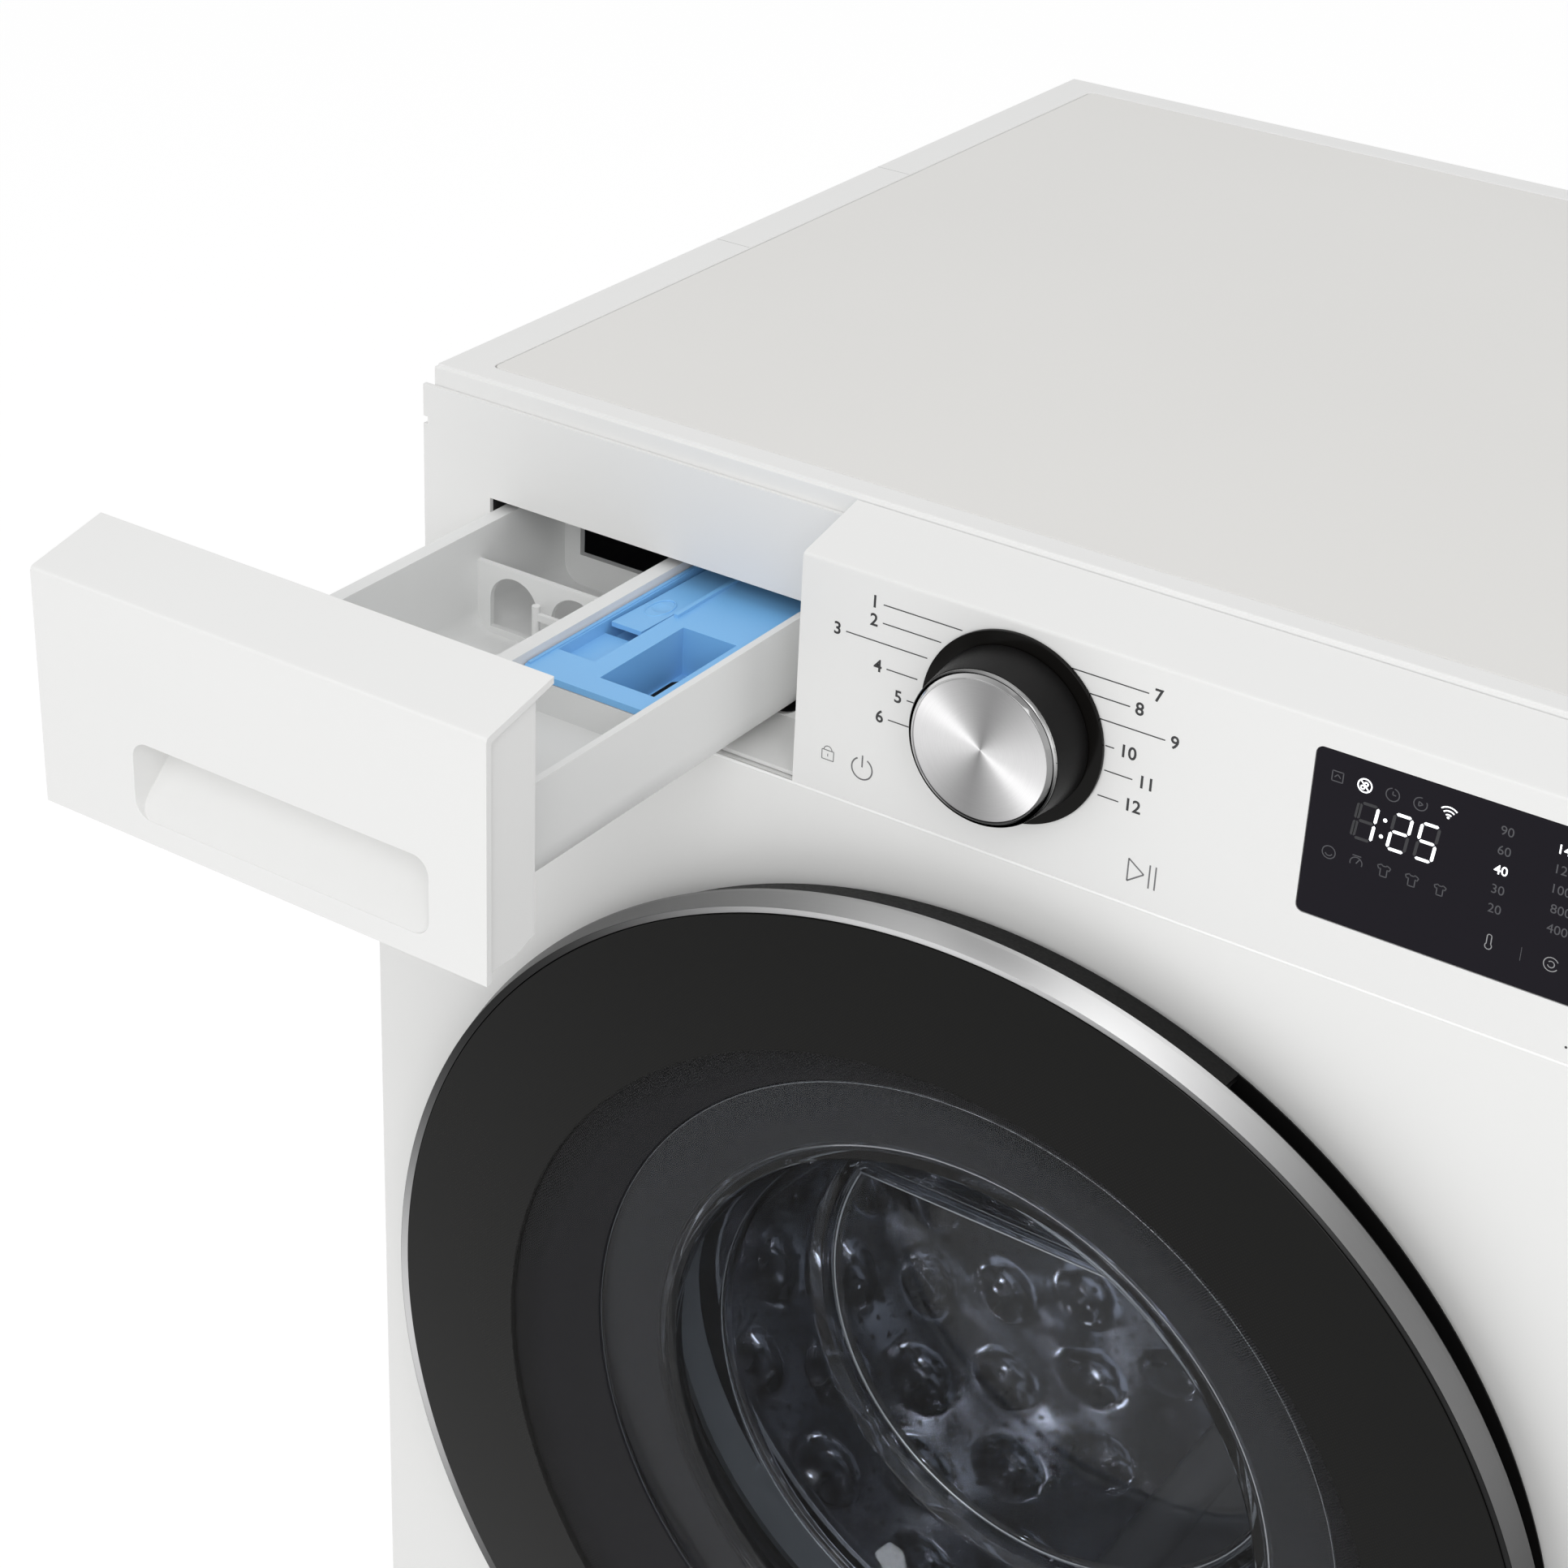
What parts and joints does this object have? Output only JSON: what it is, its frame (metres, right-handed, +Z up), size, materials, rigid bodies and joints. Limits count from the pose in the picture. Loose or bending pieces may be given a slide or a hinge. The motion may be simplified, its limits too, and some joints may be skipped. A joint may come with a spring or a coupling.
{
  "type": "front load washing machine",
  "caption": "Free-standing front load washing machine with a round glazed door, drum in a sprung tub, pull-out detergent drawer, rotary dial and display, pump filter flap and levelling feet.",
  "frame": {"origin": "on the floor under the middle of the whole part, with the detergent drawer pulled out as in the rest pose", "axes": "+X to the right of somebody facing the door, +Y to the back, +Z up"},
  "size_m": [0.6, 0.7634, 0.85],
  "materials": {
    "white_steel": "smooth white enamel",
    "white_plastic": "smooth white, softly glossy",
    "worktop": "fine matt off-white laminate",
    "zinc_steel": "zinc coated pressed steel",
    "display_glass": "dark glossy acrylic",
    "black_gloss": "deep gloss black",
    "black_satin": "satin black",
    "silver_trim": "satin silver plating",
    "spun_metal": "circular brushed metal",
    "smoked_cover": "smoked clear acrylic",
    "bowl_glass": "clear pressed glass",
    "dark_plastic": "dark grey moulded plastic",
    "inner_plastic": "light grey glass filled plastic",
    "tray_plastic": "pale grey moulded plastic",
    "cap_plastic": "light blue moulded plastic",
    "knob_plastic": "blue grey moulded plastic",
    "grey_rubber": "soft grey rubber",
    "black_rubber": "black rubber",
    "stainless": "stainless sheet",
    "aluminium": "cast aluminium",
    "iron": "grey painted cast iron",
    "winding": "enamelled windings on a core",
    "board": "circuit board"
  },
  "bodies": {
    "machine": {"side_walls": "white_steel", "rear_wall": "white_steel", "rear_cover": "zinc_steel", "base_frame": "zinc_steel", "kick_panel": "white_plastic", "front_panel": "white_steel", "control_panel": "white_plastic", "display_window": "display_glass", "dial_bezel": "black_gloss", "display_board": "board", "dispenser_housing": "dark_plastic", "dispenser_lid": "inner_plastic", "inlet_valve": "inner_plastic", "water_hoses": "black_rubber", "drain_outlet": "dark_plastic", "cord_gland": "black_rubber", "main_board": "inner_plastic", "top_rim": "white_plastic", "top_panel": "worktop", "cross_bar": "zinc_steel", "feet": "black_rubber", "foot_nuts": "zinc_steel", "tub_front": "inner_plastic", "tub_rear": "inner_plastic", "counterweights": "iron", "springs": "zinc_steel", "dampers": "black_satin", "bellows": "grey_rubber", "door_lock": "dark_plastic", "hinge_bracket": "zinc_steel", "stator": "winding", "bearings": "stainless", "pump_housing": "inner_plastic", "sump_hose": "black_rubber", "heater": "stainless", "transit_caps": "white_plastic"},
    "drum": {"drum_shell": "stainless", "drum_front": "stainless", "drum_back": "stainless", "lifters": "inner_plastic", "spider": "aluminium", "drum_shaft": "stainless", "rotor": "zinc_steel"},
    "door": {"door_ring": "silver_trim", "door_cover": "smoked_cover", "door_frame": "black_gloss", "door_glass": "bowl_glass", "door_inner_frame": "dark_plastic", "door_hinge_arm": "zinc_steel", "door_latch_hook": "zinc_steel"},
    "drawer": {"drawer_front": "white_plastic", "drawer_tray": "tray_plastic", "softener_cap": "cap_plastic"},
    "softener_tongue": {"push_tab": "cap_plastic"},
    "dial": {"dial_skirt": "black_satin", "dial_chrome": "silver_trim", "dial_cap": "spun_metal"},
    "filter_flap": {"filter_flap": "white_plastic"},
    "filter_knob": {"filter_knob": "knob_plastic"},
    "pump_impeller": {"pump_impeller": "black_satin"}
  },
  "joints": [
    {"name": "drum_spin", "type": "hinge", "parent": "machine", "child": "drum", "pos_m": [0, 0.25175, 0.4565], "axis": [0, 1, 0], "continuous": true},
    {"name": "door_hinge", "type": "hinge", "parent": "machine", "child": "door", "pos_m": [-0.2525, -0.21625, 0.4565], "axis": [0, 0, -1], "range_deg": [0, 125]},
    {"name": "drawer_slide", "type": "slide", "parent": "machine", "child": "drawer", "axis": [0, -1, 0], "range_m": [-0.1835, 0]},
    {"name": "tongue_press", "type": "hinge", "parent": "drawer", "child": "softener_tongue", "pos_m": [-0.1623, -0.13775, 0.7889], "axis": [1, 0, 0], "range_deg": [0, 4], "stiffness_Nm_per_rad": 0.5},
    {"name": "dial_turn", "type": "hinge", "parent": "machine", "child": "dial", "pos_m": [0.0006, -0.19825, 0.798], "axis": [0, 1, 0], "continuous": true},
    {"name": "filter_flap_hinge", "type": "hinge", "parent": "machine", "child": "filter_flap", "pos_m": [-0.235, -0.19425, 0.0365], "axis": [1, 0, 0], "range_deg": [0, 90]},
    {"name": "filter_knob_turn", "type": "hinge", "parent": "machine", "child": "filter_knob", "pos_m": [-0.235, -0.15825, 0.06], "axis": [0, 1, 0], "range_deg": [0, 90]},
    {"name": "pump_spin", "type": "hinge", "parent": "machine", "child": "pump_impeller", "pos_m": [-0.235, -0.07825, 0.06], "axis": [0, 1, 0], "continuous": true}
  ]
}
